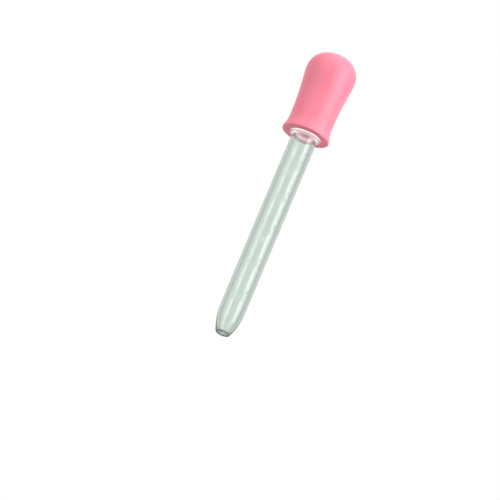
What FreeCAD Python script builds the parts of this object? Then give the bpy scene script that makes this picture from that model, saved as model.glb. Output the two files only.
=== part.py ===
import FreeCAD, Part

import math
import os

import Sketcher

# Medicine dropper: a clear plastic tube with a rounded nose, and a silicone squeeze bulb pushed onto its plug end.
# The origin is the middle of the outlet at the tip's end face, and +Z runs up the axis to the bulb's dome.
# The volume marks face -Y. Sizes are in millimetres and degrees.
#
# The bulb is one moulding. A squeeze pushes in its two finger pads, so those are solids of their own here.

SIZES = {
    # the tube's outside
    "barrel_radius": 4.75,
    "nose_length": 10.2,
    "tip_radius": 2.5,
    "tip_rounding": 0.8,
    # the tube's inside
    "bore_radius": 3.45,
    "bore_nose_top": 11.0,
    "tip_bore_radius": 1.75,
    "tip_wall": 1.0,
    "outlet_radius": 0.55,
    # the shoulder that stands just below the bulb's rim, and the plug inside the bulb
    "rim_z": 80.6,
    "shoulder_drop": 0.4,
    "shoulder_rounding": 0.2,
    "flare_radius": 0.8,
    "plug_radius": 5.8,
    "plug_bore_radius": 4.5,
    "plug_length": 10.8,
    "plug_chamfer": 0.5,
    "bore_flare_length": 1.3,
    "bead_proud": 0.15,
    "bead_half_length": 0.7,
    "lower_bead_z": 83.4,
    "upper_bead_z": 87.8,
    # the raised volume marks
    "mark_proud": 0.15,
    "mark_width": 0.5,
    "mark_sweep": 70.0,
    "mark_sink": 0.2,
    "first_mark_z": 16.3,
    "mark_step": 13.37,
    "mark_count": 5,
    # the bulb's outside
    "bulb_rim_radius": 8.9,
    "bulb_rim_rounding": 0.4,
    "bulb_rim_height": 0.8,
    "bulb_waist_radius": 8.0,
    "bulb_waist_low_z": 86.4,
    "bulb_waist_top_z": 87.4,
    "bulb_bend_z": 102.0,
    "bulb_dome_z": 105.9,
    "bulb_dome_radius": 9.25,
    "bulb_shoulder_radius": 7.1,
    "bulb_top_z": 113.4,
    # the bulb's inside
    "bulb_wall": 1.9,
    "collar_radius": 6.0,
    "stop_gap": 0.15,
    "stop_radius": 4.9,
    "stop_height": 1.0,
    # the finger pads
    "pad_z": 99.2,
    "pad_half_height": 6.4,
    "pad_half_width": 4.7,
    "pad_gap": 0.2,
    "pad_reach": 12.0,
}


def tangent_radius(run, rise):
    """The radius of an arc that leaves a line along it and stands off it by rise after run."""
    return (run * run + rise * rise) / (2 * rise)


def with_worked_out(s):
    """The driving sizes s, with the places and radii that follow from them."""
    swell = s["bulb_dome_radius"] - s["bulb_waist_radius"]
    above_bend = s["bulb_dome_z"] - s["bulb_bend_z"]
    below_bend = s["bulb_bend_z"] - s["bulb_waist_top_z"]
    upper_swell = swell * above_bend / (above_bend + below_bend)
    shoulder_z = s["rim_z"] - s["shoulder_drop"]
    plug_top = shoulder_z + s["plug_length"]
    rim_top = s["rim_z"] + s["bulb_rim_height"]
    # The dome is a shoulder arc, upright where the bulb is widest, and a flatter crown arc that it meets smoothly.
    shoulder_centre = s["bulb_dome_radius"] - s["bulb_shoulder_radius"]
    rise = s["bulb_top_z"] - s["bulb_dome_z"]
    shoulder_gap = rise - s["bulb_shoulder_radius"]
    centre_gap = tangent_radius(shoulder_centre, shoulder_gap)
    crown = centre_gap + s["bulb_shoulder_radius"]
    lean_out, lean_up = shoulder_centre / centre_gap, 1 - shoulder_gap / centre_gap
    crown_centre_z = s["bulb_top_z"] - crown
    return s | {
        "nose_round": tangent_radius(s["nose_length"], s["barrel_radius"] - s["tip_radius"]),
        "bore_round": tangent_radius(
            s["bore_nose_top"] - s["tip_wall"], s["bore_radius"] - s["tip_bore_radius"]
        ),
        "bead_round": tangent_radius(s["bead_half_length"], s["bead_proud"]),
        "shoulder_z": shoulder_z,
        "flare_start_z": shoulder_z - s["flare_radius"],
        "flare_end_radius": s["barrel_radius"] + s["flare_radius"],
        "plug_top_z": plug_top,
        "plug_chamfer_z": plug_top - s["plug_chamfer"],
        "plug_chamfer_radius": s["plug_radius"] - s["plug_chamfer"],
        "bore_flare_z": shoulder_z + s["bore_flare_length"],
        "lower_bead_start_z": s["lower_bead_z"] - s["bead_half_length"],
        "lower_bead_end_z": s["lower_bead_z"] + s["bead_half_length"],
        "upper_bead_start_z": s["upper_bead_z"] - s["bead_half_length"],
        "upper_bead_end_z": s["upper_bead_z"] + s["bead_half_length"],
        "mark_root_radius": s["barrel_radius"] - s["mark_sink"],
        "mark_round": tangent_radius(s["mark_width"] / 2, s["mark_proud"]),
        "mark_low_z": s["first_mark_z"] - s["mark_width"] / 2,
        "mark_high_z": s["first_mark_z"] + s["mark_width"] / 2,
        "axis": 0.0,
        "rim_top_z": rim_top,
        "rim_round": tangent_radius(
            s["bulb_waist_low_z"] - rim_top, s["bulb_rim_radius"] - s["bulb_waist_radius"]
        ),
        "bulb_bend_radius": s["bulb_dome_radius"] - upper_swell,
        "bulb_lower_round": tangent_radius(below_bend, swell - upper_swell),
        "bulb_upper_round": tangent_radius(above_bend, upper_swell),
        "bulb_crown_radius": crown,
        "bulb_meet_radius": crown * lean_out,
        "bulb_meet_z": crown_centre_z + crown * lean_up,
        "cavity_radius": s["bulb_dome_radius"] - s["bulb_wall"],
        "cavity_shoulder_radius": s["bulb_shoulder_radius"] - s["bulb_wall"],
        "cavity_crown_radius": crown - s["bulb_wall"],
        "cavity_meet_radius": (crown - s["bulb_wall"]) * lean_out,
        "cavity_meet_z": crown_centre_z + (crown - s["bulb_wall"]) * lean_up,
        "cavity_top_z": s["bulb_top_z"] - s["bulb_wall"],
        "cavity_waist_radius": s["bulb_waist_radius"] - s["bulb_wall"],
        "stop_low_z": plug_top + s["stop_gap"],
        "stop_top_z": plug_top + s["stop_gap"] + s["stop_height"],
    }


VALUES = with_worked_out(SIZES)
TOUCHING = 1e-5

# An outline is a closed loop of corners in the half plane through the axis: (radius, height), each the name of a size,
# then the arc that leads to the next corner, as (its radius, the side that it bulges to), or nothing for a line.
TUBE_OUTLINE = [
    ("outlet_radius", "axis"),
    ("tip_radius", "axis", ("nose_round", "right")),
    ("barrel_radius", "nose_length"),
    ("barrel_radius", "flare_start_z", ("flare_radius", "left")),
    ("flare_end_radius", "shoulder_z"),
    ("plug_radius", "shoulder_z"),
    ("plug_radius", "lower_bead_start_z", ("bead_round", "right")),
    ("plug_radius", "lower_bead_end_z"),
    ("plug_radius", "upper_bead_start_z", ("bead_round", "right")),
    ("plug_radius", "upper_bead_end_z"),
    ("plug_radius", "plug_chamfer_z"),
    ("plug_chamfer_radius", "plug_top_z"),
    ("plug_bore_radius", "plug_top_z"),
    ("plug_bore_radius", "bore_flare_z"),
    ("bore_radius", "shoulder_z"),
    ("bore_radius", "bore_nose_top", ("bore_round", "right")),
    ("tip_bore_radius", "tip_wall"),
    ("outlet_radius", "tip_wall"),
]
MARK_OUTLINE = [
    ("mark_root_radius", "mark_low_z"),
    ("barrel_radius", "mark_low_z", ("mark_round", "right")),
    ("barrel_radius", "mark_high_z"),
    ("mark_root_radius", "mark_high_z"),
]
BULB_OUTLINE = [
    ("collar_radius", "rim_z"),
    ("bulb_rim_radius", "rim_z"),
    ("bulb_rim_radius", "rim_top_z", ("rim_round", "left")),
    ("bulb_waist_radius", "bulb_waist_low_z"),
    ("bulb_waist_radius", "bulb_waist_top_z", ("bulb_lower_round", "left")),
    ("bulb_bend_radius", "bulb_bend_z", ("bulb_upper_round", "right")),
    ("bulb_dome_radius", "bulb_dome_z", ("bulb_shoulder_radius", "right")),
    ("bulb_meet_radius", "bulb_meet_z", ("bulb_crown_radius", "right")),
    ("axis", "bulb_top_z"),
    ("axis", "cavity_top_z", ("cavity_crown_radius", "right")),
    ("cavity_meet_radius", "cavity_meet_z", ("cavity_shoulder_radius", "right")),
    ("cavity_radius", "bulb_dome_z"),
    ("cavity_waist_radius", "stop_top_z"),
    ("stop_radius", "stop_top_z"),
    ("stop_radius", "stop_low_z"),
    ("collar_radius", "stop_low_z"),
]

doc = FreeCAD.newDocument("medicine_dropper")


def make_sheet():
    """The spreadsheet that holds every size under its own name."""
    sheet = doc.addObject("Spreadsheet::Sheet", "sizes")
    for row, (name, value) in enumerate(VALUES.items(), start=1):
        sheet.set(f"A{row}", name)
        sheet.set(f"B{row}", repr(value))
        sheet.setAlias(f"B{row}", name)
    doc.recompute()


def arc_between(start, end, radius, side):
    """The shorter arc from start to end with this radius, which bulges towards +X for right and -X for left."""
    middle, chord = (start + end) / 2, end - start
    across = FreeCAD.Vector(-chord.y, chord.x, 0).normalize()
    inward = -across if (across.x > 0) == (side == "right") else across
    centre = middle + inward * math.sqrt(max(radius * radius - (chord.Length / 2) ** 2, 0.0))
    turns = [math.atan2(point.y - centre.y, point.x - centre.x) for point in (start, end)]
    if (start - centre).cross(end - centre).z < 0:
        turns.reverse()
    if turns[1] < turns[0]:
        turns[1] += 2 * math.pi
    return Part.ArcOfCircle(Part.Circle(centre, FreeCAD.Vector(0, 0, 1), radius), *turns)


def same_point(a, b):
    return a.distanceToPoint(b) < TOUCHING


def end_at(sketch, index, corner):
    """Which end of the sketch's geometry lies at the corner: 1 for its start, 2 for its end."""
    return 1 if same_point(sketch.Geometry[index].StartPoint, corner) else 2


def bind(sketch, kind, places, name):
    """Adds a constraint whose value follows the size called name."""
    index = sketch.addConstraint(Sketcher.Constraint(kind, *places, VALUES[name]))
    sketch.setExpression(f"Constraints[{index}]", f"sizes.{name}")


def pin_corner(sketch, place, corner):
    """Holds the point at its named radius and height. A point at no distance lies on that axis of the sketch."""
    for kind, name, axis in (("DistanceX", corner[0], -2), ("DistanceY", corner[1], -1)):
        if name == "axis":
            sketch.addConstraint(Sketcher.Constraint("PointOnObject", *place, axis))
        else:
            bind(sketch, kind, (-1, 1, *place), name)


def make_sketch(body, name, outline, turn=0.0):
    """The outline as a sketch on the body's XZ plane, turned about the axis by turn degrees."""
    sketch = body.newObject("Sketcher::SketchObject", name)
    plane = next(f for f in body.Origin.OriginFeatures if f.Role == "XZ_Plane")
    sketch.AttachmentSupport = [(plane, "")]
    sketch.MapMode = "FlatFace"
    sketch.AttachmentOffset = FreeCAD.Placement(
        FreeCAD.Vector(), FreeCAD.Rotation(FreeCAD.Vector(0, 1, 0), turn)
    )
    corners = [FreeCAD.Vector(VALUES[corner[0]], VALUES[corner[1]], 0) for corner in outline]
    for corner, start, end in zip(outline, corners, corners[1:] + corners[:1]):
        if len(corner) == 3:
            radius_name, side = corner[2]
            sketch.addGeometry(arc_between(start, end, VALUES[radius_name], side))
        else:
            sketch.addGeometry(Part.LineSegment(start, end))
    for k, corner in enumerate(outline):
        before = (k - 1) % len(outline)
        place = (k, end_at(sketch, k, corners[k]))
        joined = (before, end_at(sketch, before, corners[k]))
        sketch.addConstraint(Sketcher.Constraint("Coincident", *joined, *place))
        pin_corner(sketch, place, corner)
        if len(corner) == 3:
            bind(sketch, "Radius", (k,), corner[2][0])
    return sketch


def revolve(body, name, sketch, angle=360.0):
    """The sketch turned about its own upright axis, half of the angle to each side."""
    turned = body.newObject("PartDesign::Revolution", name)
    turned.Profile = sketch
    turned.ReferenceAxis = (sketch, ["V_Axis"])
    turned.Midplane = True
    turned.Angle = angle
    return turned


def round_rim(body, name, radius_name, height_name, rounding_name):
    """Rounds the circular edge of this radius at this height."""
    doc.recompute()
    base = body.Tip
    edges = [
        f"Edge{k}"
        for k, edge in enumerate(base.Shape.Edges, start=1)
        if not edge.Degenerated
        and isinstance(edge.Curve, Part.Circle)
        and abs(edge.Curve.Radius - VALUES[radius_name]) < TOUCHING
        and abs(edge.Curve.Center.z - VALUES[height_name]) < TOUCHING
    ]
    fillet = body.newObject("PartDesign::Fillet", name)
    fillet.Base = (base, edges)
    fillet.setExpression("Radius", f"sizes.{rounding_name}")


def make_tube():
    """The clear barrel: nose, straight bore, flared shoulder, plug with two sealing beads, and the volume marks."""
    body = doc.addObject("PartDesign::Body", "tube")
    revolve(body, "tube_wall", make_sketch(body, "tube_outline", TUBE_OUTLINE))
    round_rim(body, "tip_edge", "tip_radius", "axis", "tip_rounding")
    round_rim(body, "shoulder_edge", "plug_radius", "shoulder_z", "shoulder_rounding")

    mark = revolve(body, "mark", make_sketch(body, "mark_outline", MARK_OUTLINE, turn=-90.0))
    mark.setExpression("Angle", "sizes.mark_sweep")
    marks = body.newObject("PartDesign::LinearPattern", "marks")
    marks.Originals = [mark]
    marks.Direction = (next(f for f in body.Origin.OriginFeatures if f.Role == "Z_Axis"), [""])
    marks.setExpression("Length", "sizes.mark_step * (sizes.mark_count - 1)")
    marks.setExpression("Occurrences", "sizes.mark_count")
    body.Tip = marks
    return body


def make_moulding():
    """The whole silicone bulb as it is moulded: rim, collar, stop, waist and dome."""
    body = doc.addObject("PartDesign::Body", "bulb_moulding")
    revolve(body, "bulb_wall_turned", make_sketch(body, "bulb_outline", BULB_OUTLINE))
    round_rim(body, "rim_edge", "bulb_rim_radius", "rim_z", "bulb_rim_rounding")
    return body


def make_pad_prism(name, direction, gap, both_ways=False):
    """An upright oval drawn out from the axis along the direction, smaller all round than the window by gap."""
    oval = doc.addObject("Part::Ellipse", f"{name}_oval")
    oval.setExpression("MajorRadius", f"sizes.pad_half_height - {gap}")
    oval.setExpression("MinorRadius", f"sizes.pad_half_width - {gap}")
    oval.Placement.Rotation = FreeCAD.Rotation(FreeCAD.Vector(0, 1, 0), -90)
    oval.setExpression("Placement.Base.z", "sizes.pad_z")
    prism = doc.addObject("Part::Extrusion", f"{name}_prism")
    prism.Base = oval
    prism.DirMode = "Custom"
    prism.Dir = direction
    prism.Solid = True
    prism.setExpression("LengthFwd", "sizes.pad_reach")
    if both_ways:
        prism.setExpression("LengthRev", "sizes.pad_reach")
    return prism


def combine(kind, name, base, tool):
    """The boolean of this kind between base and tool."""
    result = doc.addObject(kind, name)
    result.Base = base
    result.Tool = tool
    return result


def make_bulb_parts():
    """The bulb with a window on each side, and the finger pad that fills each window and moves inwards."""
    moulding = make_moulding()
    right = FreeCAD.Vector(1, 0, 0)
    windows = make_pad_prism("windows", right, "0", both_ways=True)
    pads = [
        combine("Part::Common", name, moulding, make_pad_prism(name, direction, "sizes.pad_gap"))
        for name, direction in (("squeeze_pad_left", -right), ("squeeze_pad_right", right))
    ]
    return [combine("Part::Cut", "bulb", moulding, windows), *pads]


def check(sub_parts):
    """Stops when a step failed or a sub-part is not one sound solid."""
    for item in doc.Objects:
        if "Invalid" in item.State or "Error" in item.State:
            raise RuntimeError(f"{item.Name} failed: {item.State}")
    for item in sub_parts:
        if item.Shape.isNull() or not item.Shape.isValid() or len(item.Shape.Solids) != 1:
            raise RuntimeError(f"{item.Label} is not one valid solid")


def main():
    make_sheet()
    sub_parts = [make_tube(), *make_bulb_parts()]
    doc.recompute()
    check(sub_parts)
    os.makedirs("parts", exist_ok=True)
    for item in sub_parts:
        item.Shape.exportStep(os.path.join("parts", f"{item.Label}.step"))
        print(f"{item.Label}: {item.Shape.Volume:.1f} mm3, {item.Shape.BoundBox}")


main()
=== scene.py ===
"""Medicine dropper: a clear plastic tube with raised volume marks, and a soft pink bulb.

Each piece is a closed surface turned round the dropper's axis, worked out as whole arrays. Metres, +Z up
the axis, origin at the outlet in the tip, volume marks facing -Y.
"""

import math

import bpy
import numpy as np
from bpy.props import FloatProperty, FloatVectorProperty, IntProperty, PointerProperty
from mathutils import Matrix, Vector


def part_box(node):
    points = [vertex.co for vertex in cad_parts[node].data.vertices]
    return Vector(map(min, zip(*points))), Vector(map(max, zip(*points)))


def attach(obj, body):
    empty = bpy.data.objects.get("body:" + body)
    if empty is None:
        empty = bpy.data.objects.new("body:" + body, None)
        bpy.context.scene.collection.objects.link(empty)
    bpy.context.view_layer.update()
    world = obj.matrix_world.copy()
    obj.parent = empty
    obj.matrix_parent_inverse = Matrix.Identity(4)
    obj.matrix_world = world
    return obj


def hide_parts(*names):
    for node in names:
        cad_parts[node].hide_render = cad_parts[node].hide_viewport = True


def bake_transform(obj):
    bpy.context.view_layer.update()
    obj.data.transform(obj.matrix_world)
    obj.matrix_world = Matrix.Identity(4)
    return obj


bl_info = {
    "name": "Medicine Dropper",
    "version": (1, 0, 0),
    "blender": (4, 5, 0),
    "location": "View3D > Sidebar > Dropper",
    "description": "Builds a medicine dropper with its finishes, floor, lights and camera",
    "category": "Object",
}

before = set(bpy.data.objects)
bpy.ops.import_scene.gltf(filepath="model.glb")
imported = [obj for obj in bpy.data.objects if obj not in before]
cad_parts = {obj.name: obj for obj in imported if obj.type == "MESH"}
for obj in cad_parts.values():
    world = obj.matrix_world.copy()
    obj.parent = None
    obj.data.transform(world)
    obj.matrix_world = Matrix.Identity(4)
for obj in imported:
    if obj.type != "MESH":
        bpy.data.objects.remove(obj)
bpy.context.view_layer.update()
TUBE_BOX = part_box("tube")
BULB_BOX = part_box("bulb")

MM = 0.001
FINE_STEP = 0.02 * MM  # spacing of the points that an outline is first worked out at
FRONT = -math.pi / 2  # the turn about +Z at which the volume marks face -Y
RAISED = "raised_mark"  # the tube's attribute that is 1 on a mark or numeral and 0 off it


def length(name, description, default_mm):
    """A length property, whose default is given in millimetres."""
    return FloatProperty(
        name=name, description=description, default=default_mm * MM, min=0.0, unit="LENGTH", precision=5
    )


def colour(name, description, default):
    return FloatVectorProperty(
        name=name, description=description, default=default, size=3, min=0.0, max=1.0, subtype="COLOR"
    )


# ---- sizes and colours that a user would change --------------------------------------------------


class TubeSizes(bpy.types.PropertyGroup):
    barrel_radius: length("Barrel radius", "Outside radius of the straight barrel", 4.75)
    nose_length: length("Nose length", "Height of the rounded nose above the tip", 10.2)
    tip_radius: length("Tip radius", "Radius where the nose would meet the flat tip, before rounding", 2.5)
    tip_rounding: length("Tip rounding", "Radius of the round edge at the tip", 0.8)
    outlet_radius: length("Outlet radius", "Radius of the hole in the tip", 0.55)
    bore_radius: length("Bore radius", "Inside radius of the barrel", 3.45)
    bore_nose_top: length("Nose bore top", "Height at which the bore starts to narrow", 11.0)
    tip_bore_radius: length("Tip bore radius", "Inside radius at the end wall", 1.75)
    tip_wall: length("End wall", "Thickness of the wall round the outlet", 1.0)
    shoulder_height: length("Shoulder height", "Height of the shoulder's underside", 80.2)
    flare_radius: length("Flare radius", "Radius of the curve from barrel to shoulder", 0.8)
    plug_radius: length("Plug radius", "Radius of the plug inside the bulb", 5.8)
    plug_bore_radius: length("Plug bore radius", "Inside radius of the plug", 4.5)
    bore_flare: length("Bore flare", "Height over which the bore widens into the plug", 1.3)
    bead_proud: length("Bead height", "How far each sealing bead stands out", 0.15)
    bead_half: length("Bead half length", "Half of each sealing bead's length", 0.7)
    lower_bead: length("Lower bead", "Height of the lower sealing bead", 83.4)
    upper_bead: length("Upper bead", "Height of the upper sealing bead", 87.8)


class MarkSizes(bpy.types.PropertyGroup):
    count: IntProperty(name="Marks", description="Number of volume marks", default=5, min=1, max=9)
    first: length("First mark", "Height of the lowest volume mark", 16.3)
    step: length("Mark step", "Height between volume marks", 13.37)
    proud: length("Mark height", "How far marks and numerals stand out", 0.15)
    width: length("Mark width", "Width of a mark's line", 0.5)
    sweep: FloatProperty(
        name="Mark sweep", description="Angle that a mark's line spans", default=math.radians(70),
        subtype="ANGLE",
    )
    numeral: length("Numeral height", "Height of the numerals", 2.3)
    stroke: length("Stroke width", "Width of the numerals' strokes", 0.42)
    softness: length("Edge softness", "Width of the slope at the edge of raised marks", 0.2)


class BulbSizes(bpy.types.PropertyGroup):
    rim_height: length("Rim height", "Height of the bulb's end face", 80.6)
    rim_radius: length("Rim radius", "Outside radius at the rim", 8.9)
    rim_rounding: length("Rim rounding", "Radius of the rim's round edges", 0.4)
    rim_band: length("Rim band", "Height of the straight band at the rim", 0.8)
    waist_radius: length("Waist radius", "Outside radius at the waist", 8.0)
    waist_low: length("Waist start", "Height at which the rim's flare ends", 86.4)
    waist_top: length("Waist end", "Height at which the bulb starts to widen", 87.4)
    bend: length("Bend", "Height at which the outside changes from hollow to full", 102.0)
    dome: length("Dome start", "Height at which the bulb is widest", 105.9)
    dome_radius: length("Dome radius", "Outside radius there", 9.25)
    shoulder: length("Dome shoulder", "Radius of the curve from the widest place to the dome's crown", 7.1)
    ring_height: length("Mould line", "Height of the fine ring that the mould leaves above the rim", 82.3)
    wall: length("Wall", "Thickness of the silicone", 1.9)
    collar_radius: length("Collar radius", "Inside radius of the collar that grips the plug", 6.0)
    stop_low: length("Stop", "Height of the inner stop above the plug", 91.15)
    stop_radius: length("Stop radius", "Inside radius of the stop", 4.9)
    stop_thickness: length("Stop thickness", "Thickness of the stop", 1.0)
    pad_height: length("Pad height", "Height at which the bulb is pinched", 99.2)
    pinch_above: length("Pinch above", "How far above that the pinch reaches", 10.5)
    pinch_below: length("Pinch below", "How far below that it reaches, to just above the tube's plug", 8.0)


class Finishes(bpy.types.PropertyGroup):
    silicone: colour("Silicone", "Colour of the bulb", (0.96, 0.23, 0.325))
    silicone_deep: colour("Silicone, deep", "Colour of the bulb where more pigment shows", (0.92, 0.2, 0.29))
    plastic: colour("Plastic", "Tint of the clear tube", (0.93, 0.965, 0.94))
    floor: colour("Floor", "Colour of the floor", (0.86, 0.86, 0.86))


class StageSettings(bpy.types.PropertyGroup):
    tilt: FloatProperty(
        name="Tilt", description="Angle by which the camera looks up at the dropper",
        default=math.radians(18.5), subtype="ANGLE",
    )
    lean: FloatProperty(
        name="Lean", description="Angle by which the dropper leans in the picture",
        default=math.radians(22.8), subtype="ANGLE",
    )
    distance: length("Distance", "From the camera to the point that it looks at", 3000.0)
    view_width: length("View width", "Width of the picture at that distance", 177.9)
    aim_height: length("Aim height", "Height on the dropper that the camera looks at", 33.0)
    aim_side: FloatProperty(
        name="Aim side", description="Sideways place of that point", default=-2.43 * MM, unit="LENGTH",
        precision=5,
    )
    floor_drop: length("Floor drop", "Height of the dropper's tip above the floor", 1000.0)


GROUPS = {
    "dropper_tube": TubeSizes,
    "dropper_marks": MarkSizes,
    "dropper_bulb": BulbSizes,
    "dropper_finishes": Finishes,
    "dropper_stage": StageSettings,
}

# ---- outlines and surfaces -----------------------------------------------------------------------


def arc(centre, radius, start, end):
    """Points on a circle from the start angle to the end angle, in degrees, at the fine step."""
    count = max(3, int(abs(math.radians(end - start)) * radius / FINE_STEP))
    turn = np.radians(np.linspace(start, end, count))
    return np.column_stack((centre[0] + radius * np.cos(turn), centre[1] + radius * np.sin(turn)))


def tangent_arc(vertical_end, other_end):
    """The arc that is upright at one end and passes through the other.

    Its radius is (run^2 + rise^2) / (2 rise).
    """
    (r0, z0), (r1, z1) = vertical_end, other_end
    rise, run = r1 - r0, z1 - z0
    radius = (run * run + rise * rise) / (2 * rise)
    share = np.linspace(0, 1, max(3, int(abs(run) / FINE_STEP)))
    z = z0 + run * share
    return np.column_stack((r0 + radius - np.sign(radius) * np.sqrt(radius**2 - (z - z0) ** 2), z))


def outline(*runs, closed=False):
    """One evenly spaced line through runs of points and single corners, straight between them."""
    points = np.vstack([np.atleast_2d(run) for run in runs])
    if closed:
        points = np.vstack((points, points[:1]))
    gaps = np.linalg.norm(np.diff(points, axis=0), axis=1)
    points = points[np.concatenate(([True], gaps > FINE_STEP / 50))]
    along = np.concatenate(([0], np.cumsum(np.linalg.norm(np.diff(points, axis=0), axis=1))))
    even = np.linspace(0, along[-1], int(along[-1] / FINE_STEP))
    return np.column_stack([np.interp(even, along, points[:, k]) for k in (0, 1)])


def eased(points, rounding, closed):
    """The line with its sharp corners rounded: each point becomes the bell-weighted mean of those near it."""
    reach = int(3 * rounding / FINE_STEP)
    weights = np.exp(-0.5 * (np.arange(-reach, reach + 1) * FINE_STEP / rounding) ** 2)
    weights /= weights.sum()
    if closed:
        padded = np.pad(points[:-1], ((reach, reach), (0, 0)), mode="wrap")
    else:
        padded = np.pad(points, ((reach, reach), (0, 0)), mode="reflect", reflect_type="odd")
    smooth = np.column_stack([np.convolve(padded[:, k], weights, mode="valid") for k in (0, 1)])
    return np.vstack((smooth, smooth[:1])) if closed else smooth


def thinned(points, longest, turn_per_row, extra):
    """Fewer points along the line: one per longest length, one per turn of its direction in degrees, and
    as many more per metre as extra gives for each place."""
    step = np.diff(points, axis=0)
    size = np.linalg.norm(step, axis=1)
    heading = np.unwrap(np.arctan2(step[:, 1], step[:, 0]))
    turning = np.abs(np.gradient(heading))
    rows = size / longest + turning / math.radians(turn_per_row) + size * extra(points[:-1])
    count = np.concatenate(([0], np.cumsum(rows)))
    even = np.linspace(0, count[-1], int(count[-1]) + 2)
    return np.column_stack([np.interp(even, count, points[:, k]) for k in (0, 1)])


def turned(profile, turns, relief=0.0):
    """Each outline point (r, z) turned to each angle a: ((r + relief) cos a, (r + relief) sin a, z)."""
    radius = profile[:, :1] + np.broadcast_to(relief, (len(profile), len(turns)))
    height = np.broadcast_to(profile[:, 1:], radius.shape)
    return np.stack((radius * np.cos(turns), radius * np.sin(turns), height), axis=-1)


def grid_quads(rows, columns, closed_rows):
    """Quads between neighbouring rows and columns of a grid whose columns close, as corner numbers."""
    last = rows if closed_rows else rows - 1
    row, column = np.meshgrid(np.arange(last), np.arange(columns), indexing="ij")
    below, beside = (row + 1) % rows, (column + 1) % columns
    this_row, next_row = row * columns, below * columns
    corners = (this_row + column, this_row + beside, next_row + beside, next_row + column)
    return np.stack(corners, axis=-1).reshape(-1, 4)


def make_piece(name, points, quads, fans=()):
    """A mesh object from points, quads and triangle fans, smooth and with its faces turned outwards."""
    sides = [np.asarray(quads).reshape(-1, 4), *[np.asarray(fan).reshape(-1, 3) for fan in fans]]
    corners = np.concatenate([side.ravel() for side in sides]).astype(np.int32)
    sizes = np.concatenate([np.full(len(side), side.shape[1]) for side in sides])
    mesh = bpy.data.meshes.new(name)
    mesh.vertices.add(len(points))
    mesh.vertices.foreach_set("co", points.astype(np.float32).ravel())
    mesh.loops.add(len(corners))
    mesh.loops.foreach_set("vertex_index", corners)
    mesh.polygons.add(len(sizes))
    starts = np.concatenate(([0], np.cumsum(sizes)[:-1])).astype(np.int32)
    mesh.polygons.foreach_set("loop_start", starts)
    mesh.polygons.foreach_set("use_smooth", np.ones(len(sizes), bool))
    mesh.update(calc_edges=True)
    mesh.validate()
    piece = bpy.data.objects.new(name, mesh)
    bpy.context.scene.collection.objects.link(piece)
    return piece


# ---- the tube ------------------------------------------------------------------------------------

TUBE_EASING = 0.06 * MM  # how far the outline's sharp corners are rounded
TUBE_ROW, TUBE_ROW_TURN = 1.5 * MM, 9.0  # longest distance between rows, and degrees that a row may turn
MARK_ROW, MARK_COLUMN = 0.11 * MM, 0.085 * MM  # distance between rows, and between columns, at the marks
PLAIN_COLUMNS = 110  # columns round the rest of the tube
MARK_MARGIN = math.radians(5)  # how far the close columns go past a mark's ends
BOW_POINTS = 15
LINE_SPACING = 1.45  # from one line of a label to the next, in numeral heights
LABEL_MARGIN = 0.3  # how far the close rows go below a label, in numeral heights
LABEL_REACH = 4  # the farthest that a label can lie from its mark, in numeral heights
UNIT_MARKS = (2, 4)  # the marks, counted from 0, whose label also gives the unit


def bead(size, height):
    """The arc of a sealing bead, which stands out from the plug in the middle and meets it at both ends."""
    half, proud = size.bead_half, size.bead_proud
    radius = (half * half + proud * proud) / (2 * proud)
    reach = math.degrees(math.asin(half / radius))
    return arc((size.plug_radius + proud - radius, height), radius, -reach, reach)


def nose(size):
    """The tip's round edge and then the nose's arc, which meets the barrel upright."""
    rise, run, edge = size.barrel_radius - size.tip_radius, size.nose_length, size.tip_rounding
    radius = (run * run + rise * rise) / (2 * rise)
    centre = size.barrel_radius - radius
    edge_centre = centre + math.sqrt((radius - edge) ** 2 - (run - edge) ** 2)
    touch = math.degrees(math.atan2(edge - run, edge_centre - centre))
    return np.vstack((arc((edge_centre, edge), edge, -90, touch), arc((centre, run), radius, touch, 0)))


def tube_outline(size):
    """The tube's wall as a closed line: up the outside from the outlet, over the plug, down the bore."""
    shoulder, flare, top = size.shoulder_height, size.flare_radius, TUBE_BOX[1][2]
    chamfer, edge = 0.5 * MM, 0.2 * MM
    return outline(
        (size.outlet_radius, 0.0),
        nose(size),
        arc((size.barrel_radius + flare, shoulder - flare), flare, 180, 90),
        arc((size.plug_radius - edge, shoulder + edge), edge, -90, 0),
        bead(size, size.lower_bead),
        bead(size, size.upper_bead),
        (size.plug_radius, top - chamfer),
        (size.plug_radius - chamfer, top),
        (size.plug_bore_radius, top),
        (size.plug_bore_radius, shoulder + size.bore_flare),
        (size.bore_radius, shoulder),
        tangent_arc((size.bore_radius, size.bore_nose_top), (size.tip_bore_radius, size.tip_wall)),
        (size.outlet_radius, size.tip_wall),
        closed=True,
    )


def bow(middle, half_width, half_height, start, end):
    """A stroke along part of an oval, from the start angle to the end angle in degrees."""
    turn = np.radians(np.linspace(start, end, BOW_POINTS))
    return np.column_stack((middle[0] + half_width * np.cos(turn), middle[1] + half_height * np.sin(turn)))


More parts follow.
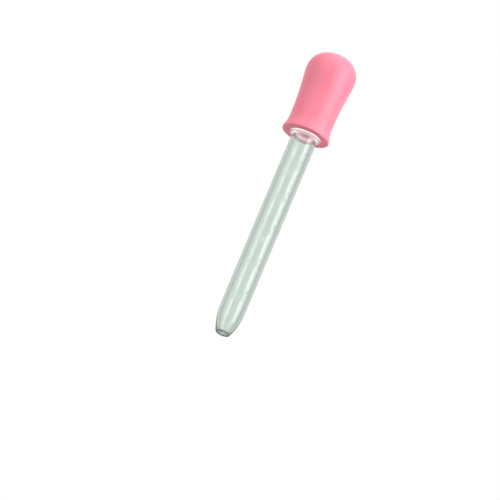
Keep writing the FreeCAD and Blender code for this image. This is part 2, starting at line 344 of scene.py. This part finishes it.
# Each character's width, and its strokes in a space one unit high.
CHARACTERS = {
    "0": (0.58, [bow((0.29, 0.5), 0.29, 0.5, 0, 360)]),
    "1": (0.34, [np.array([(0.02, 0.76), (0.28, 1.0), (0.28, 0.0)])]),
    "2": (0.56, [np.vstack((bow((0.28, 0.71), 0.27, 0.29, 165, -35), [(0.0, 0.0), (0.56, 0.0)]))]),
    "5": (
        0.56,
        [np.vstack(([(0.53, 1.0), (0.1, 1.0), (0.04, 0.52)], bow((0.26, 0.32), 0.3, 0.32, 125, -140)))],
    ),
    ".": (0.06, [np.array([(0.03, 0.02), (0.03, 0.05)])]),
    "m": (
        0.74,
        [
            np.array([(0.0, 0.62), (0.0, 0.0)]),
            np.vstack((bow((0.185, 0.42), 0.185, 0.2, 180, 0), [(0.37, 0.0)])),
            np.vstack((bow((0.555, 0.42), 0.185, 0.2, 180, 0), [(0.74, 0.0)])),
        ],
    ),
    "l": (0.06, [np.array([(0.03, 1.0), (0.03, 0.0)])]),
}
CHARACTER_GAP = 0.24  # between characters, in the same space


def strokes_of(text, centre, height):
    """The strokes of a line of text, centred across the mark and standing on its base line."""
    widths = [CHARACTERS[letter][0] for letter in text]
    start = -(sum(widths) + CHARACTER_GAP * (len(text) - 1)) / 2
    found = []
    for letter, width in zip(text, widths):
        found += [(stroke + (start, 0.0)) * height + centre for stroke in CHARACTERS[letter][1]]
        start += width + CHARACTER_GAP
    return found


def mark_height(marks, index):
    return marks.first + marks.step * index


def label_strokes(marks, index):
    """A mark's numeral just below its line, and on some marks the unit below that."""
    line = marks.numeral * LINE_SPACING
    base = mark_height(marks, index) - marks.width / 2 - line
    strokes = strokes_of(f"{(index + 1) / 2:.1f}", (0.0, base), marks.numeral)
    if index in UNIT_MARKS:
        strokes += strokes_of("ml", (0.0, base - line), marks.numeral)
    return strokes


def distance_to(across, up, stroke):
    """Each place's distance to the nearest of a stroke's straight pieces."""
    nearest = np.full(across.shape, np.inf)
    for (x0, y0), (x1, y1) in zip(stroke[:-1], stroke[1:]):
        dx, dy = x1 - x0, y1 - y0
        share = np.clip(((across - x0) * dx + (up - y0) * dy) / (dx * dx + dy * dy), 0, 1)
        nearest = np.minimum(nearest, np.hypot(across - x0 - share * dx, up - y0 - share * dy))
    return nearest


def soft_step(value):
    """0 below 0, 1 above 1, and an even slope that is level at both ends between them."""
    share = np.clip(value, 0, 1)
    return share * share * (3 - 2 * share)


def raised_marks(size, marks, across, up):
    """How far the marks and numerals stand out at each place.

    It is the full height on a line or stroke, with a slope as wide as the softness across its edge.
    """
    half_line = marks.sweep / 2 * size.barrel_radius
    nearest = np.full(across.shape, np.inf)
    for index in range(marks.count):
        height = mark_height(marks, index)
        line = np.array([(-half_line, height), (half_line, height)])
        nearest = np.minimum(nearest, distance_to(across, up, line) - marks.width / 2)
        near = np.abs(up - height) < LABEL_REACH * marks.numeral
        for stroke in label_strokes(marks, index):
            found = distance_to(across[near], up[near], stroke) - marks.stroke / 2
            nearest[near] = np.minimum(nearest[near], found)
    return marks.proud * soft_step(0.5 - nearest / marks.softness)


def mark_turns(marks, size):
    """Angles round the tube, close together where the marks are and wider apart elsewhere."""
    reach = marks.sweep / 2 + MARK_MARGIN
    fine = np.arange(FRONT - reach, FRONT + reach, MARK_COLUMN / size.barrel_radius)
    coarse = np.linspace(FRONT + reach, FRONT - reach + 2 * math.pi, PLAIN_COLUMNS, endpoint=False)
    return np.concatenate((fine, coarse))


class DROPPER_OT_tube(bpy.types.Operator):
    """Build the clear tube: nose, barrel with raised marks and numerals, flared shoulder, and plug"""

    bl_idname = "dropper.tube"
    bl_label = "Build Tube"

    def execute(self, context):
        size, marks = context.scene.dropper_tube, context.scene.dropper_marks
        heights = [mark_height(marks, index) for index in range(marks.count)]

        def extra_rows(points):
            """Close rows on the outside where the marks and their labels are, and none elsewhere."""
            lines = [1 + (index in UNIT_MARKS) for index in range(marks.count)]
            drops = [marks.numeral * (LINE_SPACING * count + LABEL_MARGIN) for count in lines]
            lowest = [height - drop for height, drop in zip(heights, drops)]
            on_mark = [
                (points[:, 1] > low) & (points[:, 1] < height + marks.width)
                for low, height in zip(lowest, heights)
            ]
            outer = points[:, 0] > size.bore_radius + 0.5 * MM
            return (np.any(on_mark, axis=0) & outer) / MARK_ROW

        line = eased(tube_outline(size), TUBE_EASING, closed=True)
        profile = thinned(line, TUBE_ROW, TUBE_ROW_TURN, extra_rows)[:-1]
        turns = mark_turns(marks, size)
        outside = np.abs(profile[:, 0] - size.barrel_radius) < 0.02 * MM
        across = np.broadcast_to(size.barrel_radius * (turns - FRONT), (outside.sum(), len(turns)))
        up = np.broadcast_to(profile[outside, 1:], across.shape)
        relief = np.zeros((len(profile), len(turns)))
        relief[outside] = raised_marks(size, marks, across, up)
        points = turned(profile, turns, relief).reshape(-1, 3)
        tube = make_piece("clear_tube", points, grid_quads(len(profile), len(turns), closed_rows=True))
        raised = tube.data.attributes.new(RAISED, "FLOAT", "POINT")
        raised.data.foreach_set("value", (relief / marks.proud).astype(np.float32).ravel())
        tube.data.materials.append(clear_plastic(context.scene.dropper_finishes))
        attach(tube, "tube")
        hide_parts("tube")
        return {"FINISHED"}


# ---- the bulb ------------------------------------------------------------------------------------

BULB_EASING = 0.08 * MM
BULB_ROW, BULB_ROW_TURN = 0.9 * MM, 5.0
BULB_COLUMNS = 252
PARTING_PROUD, PARTING_WIDTH = 0.03 * MM, 0.018  # the parting line's height, and its width in radians
RING_PROUD, RING_WIDTH = 0.07 * MM, 0.22 * MM
RING_ROW, RING_REACH = 0.1 * MM, 0.7 * MM  # distance between rows at the ring, and their reach either way
WAVE_PROUD = 0.02 * MM  # how far the skin's slow waves go in and out
RIM_ROWS = 6  # rows over which what the mould leaves sets in above the rim


def dome(size, inset):
    """The dome from its widest place to its pole, moved inwards by the inset.

    A shoulder arc starts upright and smoothly meets a flatter crown arc.
    """
    rise, across = BULB_BOX[1][2] - size.dome, size.dome_radius - size.shoulder
    crown = (across**2 + rise**2 - size.shoulder**2) / (2 * (rise - size.shoulder))
    centre = BULB_BOX[1][2] - crown
    meeting = math.degrees(math.atan2(size.dome - centre, across))
    shoulder = arc((across, size.dome), size.shoulder - inset, 0, meeting)
    return np.vstack((shoulder, arc((0.0, centre), crown - inset, meeting, 90)))


def bulb_outline(size):
    """The bulb's wall as a line: from the cavity's pole down, round the rim, and up to the outer pole."""
    swell, rise = size.dome_radius - size.waist_radius, size.dome - size.waist_top
    bend = (size.dome_radius - swell * (size.dome - size.bend) / rise, size.bend)
    rim, edge = size.rim_height, size.rim_rounding
    stop_top = size.stop_low + size.stop_thickness
    return outline(
        dome(size, size.wall)[::-1],
        (size.waist_radius - size.wall, stop_top),
        (size.stop_radius, stop_top),
        (size.stop_radius, size.stop_low),
        (size.collar_radius, size.stop_low),
        arc((size.collar_radius + edge / 2, rim + edge / 2), edge / 2, 180, 270),
        arc((size.rim_radius - edge, rim + edge), edge, -90, 0),
        tangent_arc((size.waist_radius, size.waist_low), (size.rim_radius, rim + size.rim_band))[::-1],
        tangent_arc((size.waist_radius, size.waist_top), bend),
        tangent_arc((size.dome_radius, size.dome), bend)[::-1],
        dome(size, 0.0),
    )


def mould_relief(size, profile, turns, outside):
    """What the mould leaves outside: a fine parting line up both sides and a fine ring above the rim.

    Both are bell-shaped ridges. With them go two slow waves, for a very slight unevenness of the skin.
    """
    height = profile[:, 1:]
    parting = PARTING_PROUD * np.exp(-((np.sin(turns) / PARTING_WIDTH) ** 2))
    ring = RING_PROUD * np.exp(-(((height - size.ring_height) / RING_WIDTH) ** 2))
    wave = np.sin(3 * turns + height / (9 * MM)) + 0.7 * np.sin(2 * turns - height / (5 * MM) + 1.3)
    return outside[:, None] * (np.maximum(parting, ring) + WAVE_PROUD * wave)


def ring_rows(size, points):
    """Close rows on the outside at the ring that the mould leaves, and none elsewhere."""
    near = np.abs(points[:, 1] - size.ring_height) < RING_REACH
    return (near & (points[:, 0] > size.collar_radius + MM)) / RING_ROW


class DROPPER_OT_bulb(bpy.types.Operator):
    """Build the silicone bulb: rim, waist, dome and hollow inside"""

    bl_idname = "dropper.bulb"
    bl_label = "Build Bulb"

    def execute(self, context):
        size = context.scene.dropper_bulb
        line = eased(bulb_outline(size), BULB_EASING, closed=False)
        profile = thinned(line, BULB_ROW, BULB_ROW_TURN, lambda points: ring_rows(size, points))
        rows = len(profile) - 2
        even = np.linspace(0, 2 * math.pi, BULB_COLUMNS, endpoint=False)
        turns = even - 0.25 * np.sin(2 * even)  # closer together at the parting lines
        rim_row = np.argmin(np.hypot(*(profile - (size.rim_radius, size.rim_height + size.rim_band)).T))
        outside = soft_step((np.arange(rows) - rim_row) / RIM_ROWS)
        shell = turned(profile[1:-1], turns, mould_relief(size, profile[1:-1], turns, outside))
        points = np.vstack((shell.reshape(-1, 3), [(0, 0, profile[0, 1]), (0, 0, profile[-1, 1])]))
        column = np.arange(len(turns))
        beside, first, last = np.roll(column, -1), len(points) - 2, len(points) - 1
        cavity_pole = np.column_stack((np.full(len(turns), first), beside, column))
        end = (rows - 1) * len(turns)
        outer_pole = np.column_stack((end + column, end + beside, np.full(len(turns), last)))
        quads = grid_quads(rows, len(turns), closed_rows=False)
        bulb = make_piece("squeeze_bulb", points, quads, fans=(cavity_pole, outer_pole))
        bulb.data.materials.append(pink_silicone(context.scene.dropper_finishes))
        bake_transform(bulb)
        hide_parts("bulb", "squeeze_pad_left", "squeeze_pad_right")
        return {"FINISHED"}


# ---- finishes ------------------------------------------------------------------------------------


def add_node(tree, kind, inputs=None, **settings):
    """A node with its settings made, and each named input given a value or joined to another node."""
    node = tree.nodes.new(kind)
    for name, value in settings.items():
        setattr(node, name, value)
    for name, value in (inputs or {}).items():
        if isinstance(value, bpy.types.NodeSocket):
            tree.links.new(value, node.inputs[name])
        else:
            node.inputs[name].default_value = value
    return node


def calc(tree, operation, first, second):
    """The output of a math node."""
    return add_node(tree, "ShaderNodeMath", {0: first, 1: second}, operation=operation).outputs[0]


def between(tree, value, low, high, low_result=0.0, high_result=1.0):
    """The value carried from one range to another with level ends."""
    inputs = {"Value": value, "From Min": low, "From Max": high, "To Min": low_result, "To Max": high_result}
    return add_node(tree, "ShaderNodeMapRange", inputs, interpolation_type="SMOOTHSTEP").outputs["Result"]


def mixed(tree, share, first, second):
    """The colour that goes from the first to the second as the share goes from 0 to 1."""
    inputs = {"Factor": share, "A": first, "B": second}
    node = tree.nodes.new("ShaderNodeMix")
    node.data_type = "RGBA"
    for socket in node.inputs:
        value = inputs.get(socket.name) if socket.enabled else None
        if isinstance(value, bpy.types.NodeSocket):
            tree.links.new(value, socket)
        elif value is not None:
            socket.default_value = value
    return next(socket for socket in node.outputs if socket.enabled)


def noise(tree, place, scale, detail=2.0, roughness=0.5):
    inputs = {"Vector": place, "Scale": scale, "Detail": detail, "Roughness": roughness}
    return add_node(tree, "ShaderNodeTexNoise", inputs).outputs["Fac"]


def node_group(name, inputs, output):
    """A new shader node group with its end nodes: a place and named numbers go in, one number comes out."""
    group = bpy.data.node_groups.new(name, "ShaderNodeTree")
    group.interface.new_socket("Place", in_out="INPUT", socket_type="NodeSocketVector")
    for label, default in inputs.items():
        socket = group.interface.new_socket(label, in_out="INPUT", socket_type="NodeSocketFloat")
        socket.default_value = default
    group.interface.new_socket(output, in_out="OUTPUT", socket_type="NodeSocketFloat")
    return group, group.nodes.new("NodeGroupInput"), group.nodes.new("NodeGroupOutput")


def handling_marks():
    """Soft smudges left by fingers: broad noise, broken up by finer noise, 1 on a smudge and 0 off it."""
    group, given, result = node_group("Handling marks", {"Scale": 90.0, "Cover": 0.5}, "Marks")
    broad = noise(group, given.outputs["Place"], given.outputs["Scale"], detail=3.0)
    finer_scale = calc(group, "MULTIPLY", given.outputs["Scale"], 7.0)
    finer = noise(group, given.outputs["Place"], finer_scale, detail=4.0)
    level = calc(group, "SUBTRACT", 0.85, calc(group, "MULTIPLY", given.outputs["Cover"], 0.6))
    smudge = between(group, broad, calc(group, "SUBTRACT", level, 0.12), calc(group, "ADD", level, 0.12))
    marks = calc(group, "MULTIPLY", smudge, between(group, finer, 0.3, 0.75, 0.35, 1.0))
    group.links.new(marks, result.inputs["Marks"])
    return group


def dust_specks():
    """Specks of dust: the middle of some cells of a cell pattern, each of its own size."""
    group, given, result = node_group("Dust specks", {"Scale": 700.0, "Size": 0.12, "Share": 0.2}, "Specks")
    cells = add_node(
        group, "ShaderNodeTexVoronoi", {"Vector": given.outputs["Place"], "Scale": given.outputs["Scale"]}
    )
    draw = add_node(group, "ShaderNodeSeparateColor", {"Color": cells.outputs["Color"]})
    radius = calc(group, "MULTIPLY", given.outputs["Size"], calc(group, "ADD", draw.outputs["Green"], 0.5))
    inside = between(group, calc(group, "SUBTRACT", radius, cells.outputs["Distance"]), 0.0, 0.03)
    chosen = calc(group, "LESS_THAN", draw.outputs["Red"], given.outputs["Share"])
    group.links.new(calc(group, "MULTIPLY", inside, chosen), result.inputs["Specks"])
    return group


def moulded_skin():
    """The skin of a moulding, as a height: a soft ripple with fine grain on it."""
    inputs = {"Ripple scale": 160.0, "Grain scale": 2500.0, "Grain": 0.25}
    group, given, result = node_group("Moulded skin", inputs, "Height")
    ripple = noise(group, given.outputs["Place"], given.outputs["Ripple scale"])
    grain = noise(group, given.outputs["Place"], given.outputs["Grain scale"], detail=3.0, roughness=0.6)
    height = calc(group, "ADD", ripple, calc(group, "MULTIPLY", grain, given.outputs["Grain"]))
    group.links.new(height, result.inputs["Height"])
    return group


def shared_group(make):
    """The node group that a function makes, made once and then reused."""
    name = make.__name__.replace("_", " ").capitalize()
    return bpy.data.node_groups.get(name) or make()


def placed(tree, make, place, **values):
    """A shared group placed in a material with its own values, given by input name with _ for a space."""
    inputs = {name.replace("_", " "): value for name, value in values.items()}
    node = add_node(tree, "ShaderNodeGroup", node_tree=shared_group(make))
    for name, value in inputs.items():
        node.inputs[name].default_value = value
    tree.links.new(place, node.inputs["Place"])
    return node.outputs[0]


def new_material(name, **constants):
    """A material's node tree, its Principled shader with those inputs set, and the place on the object."""
    material = bpy.data.materials.new(name)
    material.use_nodes = True
    tree = material.node_tree
    shader = tree.nodes["Principled BSDF"]
    for label, value in constants.items():
        shader.inputs[label.replace("_", " ")].default_value = value
    place = tree.nodes.new("ShaderNodeTexCoord").outputs["Object"]
    return material, tree, shader, place


def pink_silicone(finishes):
    """Soft pink silicone: clouds of slightly deeper pigment, a satin skin, dust, and dull finger marks."""
    material, tree, shader, place = new_material(
        "pink_silicone",
        IOR=1.5,
        Specular_IOR_Level=0.8,
        Subsurface_Weight=0.6,
        Subsurface_Radius=(0.004, 0.0014, 0.0018),
        Subsurface_Scale=1.0,
        Sheen_Weight=0.12,
        Sheen_Roughness=0.5,
    )
    clouds = between(tree, noise(tree, place, 55.0, detail=4.0), 0.35, 0.68)
    pigment = mixed(tree, clouds, (*finishes.silicone, 1), (*finishes.silicone_deep, 1))
    dust = placed(tree, dust_specks, place, Scale=520.0, Size=0.1, Share=0.1)
    dusty = mixed(tree, calc(tree, "MULTIPLY", dust, 0.25), pigment, (0.95, 0.72, 0.76, 1))
    tree.links.new(dusty, shader.inputs["Base Color"])
    marks = placed(tree, handling_marks, place, Scale=85.0, Cover=0.45)
    tree.links.new(between(tree, marks, 0.0, 1.0, 0.5, 0.6), shader.inputs["Roughness"])
    skin = placed(tree, moulded_skin, place, Ripple_scale=210.0, Grain_scale=3200.0, Grain=0.18)
    bump = add_node(tree, "ShaderNodeBump", {"Height": skin, "Strength": 0.25, "Distance": 0.05 * MM})
    tree.links.new(bump.outputs["Normal"], shader.inputs["Normal"])
    return material


# Painted light: an emission at the tube's shoulder stands in for the light that the pink bulb scatters into
# its mouth. These are its strength, its colour, and the share of it that is left up the plug.
PAINTED_LIGHT_STRENGTH, PAINTED_LIGHT_COLOUR = 0.3, (1.0, 0.76, 0.83, 1)
PAINTED_LIGHT_REMAINDER = 0.15  # share of the glow that is left up the plug
DARK = (0, 0, 0, 1)
ABSORPTION_COLOUR, ABSORPTION_DENSITY = (0.57, 0.672, 0.61, 1), 300.0


def mouth_glow(tree, height):
    """The share of the painted light at each height: an emission that stands in for the light that the bulb
    scatters into its mouth.

    It sets in just below the bulb's rim, is full at the tube's shoulder and drops to a faint remainder above.
    """
    rim = BULB_BOX[0][2]
    setting_in = between(tree, height, rim - 1.6 * MM, rim - 0.4 * MM)
    dropping = between(tree, height, rim + 0.5 * MM, rim + 2.5 * MM, 1.0, PAINTED_LIGHT_REMAINDER)
    return calc(tree, "MULTIPLY", setting_in, dropping)


def clear_plastic(finishes):
    """Clear moulded plastic with a faint green tint, flow ripples, hazy finger marks and a little dust.

    The end of the tip and the raised marks are rougher, and the shoulder has painted light: an emission that
    stands in for the light that the bulb scatters into its mouth.
    """
    material, tree, shader, place = new_material(
        "clear_plastic",
        IOR=1.49,
        Transmission_Weight=1.0,
        Emission_Strength=PAINTED_LIGHT_STRENGTH,
    )
    depth = {"Color": ABSORPTION_COLOUR, "Density": ABSORPTION_DENSITY}
    absorption = add_node(tree, "ShaderNodeVolumeAbsorption", depth)
    tree.links.new(absorption.outputs["Volume"], tree.nodes["Material Output"].inputs["Volume"])
    haze = placed(tree, handling_marks, place, Scale=120.0, Cover=0.4)
    tint = mixed(tree, haze, (*finishes.plastic, 1), tuple(0.97 * part for part in finishes.plastic) + (1,))
    tree.links.new(tint, shader.inputs["Base Color"])
    dust = placed(tree, dust_specks, place, Scale=600.0, Size=0.08, Share=0.1)
    dull = calc(tree, "MAXIMUM", calc(tree, "MULTIPLY", haze, 0.45), dust)
    raised = add_node(tree, "ShaderNodeAttribute", attribute_name=RAISED).outputs["Fac"]
    worn = calc(tree, "MAXIMUM", calc(tree, "MULTIPLY", dull, 0.2), calc(tree, "MULTIPLY", raised, 0.5))
    height = add_node(tree, "ShaderNodeSeparateXYZ", {"Vector": place}).outputs["Z"]
    frosted = calc(tree, "MAXIMUM", worn, between(tree, height, 0.6 * MM, 2.4 * MM, 1.0, 0.0))
    tree.links.new(between(tree, frosted, 0.0, 1.0, 0.09, 0.42), shader.inputs["Roughness"])
    # Painted light: the emission colour at the shoulder, which stands in for the light scattered into the
    # bulb's mouth.
    painted_light = mixed(tree, mouth_glow(tree, height), DARK, PAINTED_LIGHT_COLOUR)
    tree.links.new(painted_light, shader.inputs["Emission Color"])
    stretched = add_node(tree, "ShaderNodeMapping", {"Vector": place, "Scale": (1.0, 1.0, 0.12)})
    along = stretched.outputs[0]
    skin = placed(tree, moulded_skin, along, Ripple_scale=330.0, Grain_scale=1500.0, Grain=0.03)
    bump = add_node(tree, "ShaderNodeBump", {"Height": skin, "Strength": 0.014, "Distance": 0.04 * MM})
    tree.links.new(bump.outputs["Normal"], shader.inputs["Normal"])
    return material


def pale_floor(finishes, radius):
    """A matt pale floor that fades out towards its edge."""
    material, tree, shader, place = new_material("pale_floor", Roughness=0.8)
    grain = noise(tree, place, 30.0, detail=3.0)
    pale = mixed(tree, grain, (*finishes.floor, 1), tuple(0.98 * part for part in finishes.floor) + (1,))
    tree.links.new(pale, shader.inputs["Base Color"])
    flat = add_node(tree, "ShaderNodeVectorMath", {0: place, 1: (1.0, 1.0, 0.0)}, operation="MULTIPLY")
    away = add_node(tree, "ShaderNodeVectorMath", {0: flat.outputs[0]}, operation="LENGTH").outputs["Value"]
    tree.links.new(between(tree, away, 0.25 * radius, radius, 1.0, 0.0), shader.inputs["Alpha"])
    return material


# ---- floor, light and camera ---------------------------------------------------------------------


def make_floor(stage, finishes):
    """A flat disc below the tip: rings of points at each radius and angle."""
    radius, innermost, rings, columns = 2.4, 0.002, 24, 64
    turns = np.linspace(0, 2 * math.pi, columns, endpoint=False)
    radii = np.column_stack((np.linspace(radius, innermost, rings), np.full(rings, -stage.floor_drop)))
    points = turned(radii, turns).reshape(-1, 3)
    points = np.vstack((points, [(0, 0, -stage.floor_drop)]))
    column = (rings - 1) * columns + np.arange(columns)
    middle = np.column_stack((column, np.roll(column, -1), np.full(columns, len(points) - 1)))
    floor = make_piece("floor", points, grid_quads(rings, columns, closed_rows=False), fans=(middle,))
    floor.data.materials.append(pale_floor(finishes, radius))
    floor.visible_diffuse = floor.visible_glossy = floor.visible_transmission = False


# Each softbox's azimuth and elevation in degrees, distance, width and height in metres, and power in watts.
SOFT_LIGHTS = {
    "key_light": (53, 20, 0.7, 0.42, 0.8, 4.6),
    "fill_light": (-46, 20, 0.7, 0.6, 0.8, 1.8),
    "top_light": (10, 75, 0.8, 0.5, 0.5, 1.5),
}


def soft_light(name, target, azimuth, elevation, distance, width, height, power):
    """A white softbox facing the target, at an azimuth counted from the front towards +X and an elevation."""
    azimuth, elevation = math.radians(azimuth), math.radians(elevation)
    level = math.cos(elevation)
    away = Vector((math.sin(azimuth) * level, -math.cos(azimuth) * level, math.sin(elevation)))
    light = bpy.data.lights.new(name, "AREA")
    light.shape = "RECTANGLE"
    light.size, light.size_y, light.energy = width, height, power
    lamp = bpy.data.objects.new(name, light)
    lamp.location = target + away * distance
    lamp.rotation_euler = away.to_track_quat("Z", "Y").to_euler()
    lamp.visible_camera = False
    bpy.context.scene.collection.objects.link(lamp)


def white_room(behind, above, dimmest, brightest):
    """The world: plain white to look at, and lighting the dropper most from behind and a little above."""
    world = bpy.data.worlds.new("white_room")
    bpy.context.scene.world = world
    world.use_nodes = True
    tree = world.node_tree
    direction = tree.nodes.new("ShaderNodeTexCoord").outputs["Generated"]
    towards = (behind + above).normalized()
    facing = add_node(tree, "ShaderNodeVectorMath", {0: direction, 1: towards}, operation="DOT_PRODUCT")
    light = between(tree, facing.outputs["Value"], 0.3, 0.98, dimmest, brightest)
    seen = tree.nodes.new("ShaderNodeLightPath").outputs["Is Camera Ray"]
    strength = calc(tree, "MAXIMUM", light, seen)
    tree.links.new(strength, tree.nodes["Background"].inputs["Strength"])
    tree.nodes["Background"].inputs["Color"].default_value = (1, 1, 1, 1)


def make_camera(stage, target):
    """A camera that looks up at the target, turned so that the dropper leans in the picture."""
    side = Vector((1, 0, 0))
    forward = Vector((0, math.cos(stage.tilt), math.sin(stage.tilt)))
    upward = Vector((0, -math.sin(stage.tilt), math.cos(stage.tilt)))
    right = math.sin(stage.lean) * upward + math.cos(stage.lean) * side
    up = math.cos(stage.lean) * upward - math.sin(stage.lean) * side
    camera = bpy.data.cameras.new("camera")
    camera.lens = camera.sensor_width * stage.distance / stage.view_width
    viewer = bpy.data.objects.new("camera", camera)
    place = Matrix((right, up, -forward)).transposed().to_4x4()
    place.translation = target - forward * stage.distance
    viewer.matrix_world = place
    bpy.context.scene.collection.objects.link(viewer)
    bpy.context.scene.camera = viewer
    return forward


class DROPPER_OT_stage(bpy.types.Operator):
    """Set up the pale floor, the soft studio lights, the white surroundings and the camera"""

    bl_idname = "dropper.stage"
    bl_label = "Set Up Stage"

    def execute(self, context):
        stage = context.scene.dropper_stage
        target = Vector((stage.aim_side, 0.0, stage.aim_height))
        forward = make_camera(stage, target)
        make_floor(stage, context.scene.dropper_finishes)
        white_room(forward, above=Vector((0, 0, 0.25)), dimmest=0.58, brightest=1.0)
        for name, values in SOFT_LIGHTS.items():
            soft_light(name, target, *values)
        context.scene.view_settings.view_transform = "Standard"
        return {"FINISHED"}


# ---- panel and start -----------------------------------------------------------------------------

STEPS = {
    DROPPER_OT_tube: ("dropper_tube", "dropper_marks"),
    DROPPER_OT_bulb: ("dropper_bulb",),
    DROPPER_OT_stage: ("dropper_finishes", "dropper_stage"),
}


class DROPPER_PT_build(bpy.types.Panel):
    """Lists the building steps in order, each with the sizes that it uses"""

    bl_idname = "DROPPER_PT_build"
    bl_label = "Medicine Dropper"
    bl_space_type = "VIEW_3D"
    bl_region_type = "UI"
    bl_category = "Dropper"

    def draw(self, context):
        for operator, groups in STEPS.items():
            box = self.layout.box()
            box.operator(operator.bl_idname)
            for group in groups:
                for name in GROUPS[group].__annotations__:
                    box.prop(getattr(context.scene, group), name)


CLASSES = (*GROUPS.values(), *STEPS, DROPPER_PT_build)


def register():
    for item in CLASSES:
        bpy.utils.register_class(item)
    for name, group in GROUPS.items():
        setattr(bpy.types.Scene, name, PointerProperty(type=group))


def unregister():
    for name in GROUPS:
        delattr(bpy.types.Scene, name)
    for item in reversed(CLASSES):
        bpy.utils.unregister_class(item)


def main():
    register()
    bpy.ops.dropper.tube()
    bpy.ops.dropper.bulb()
    bpy.ops.dropper.stage()


if __name__ == "__main__":
    main()
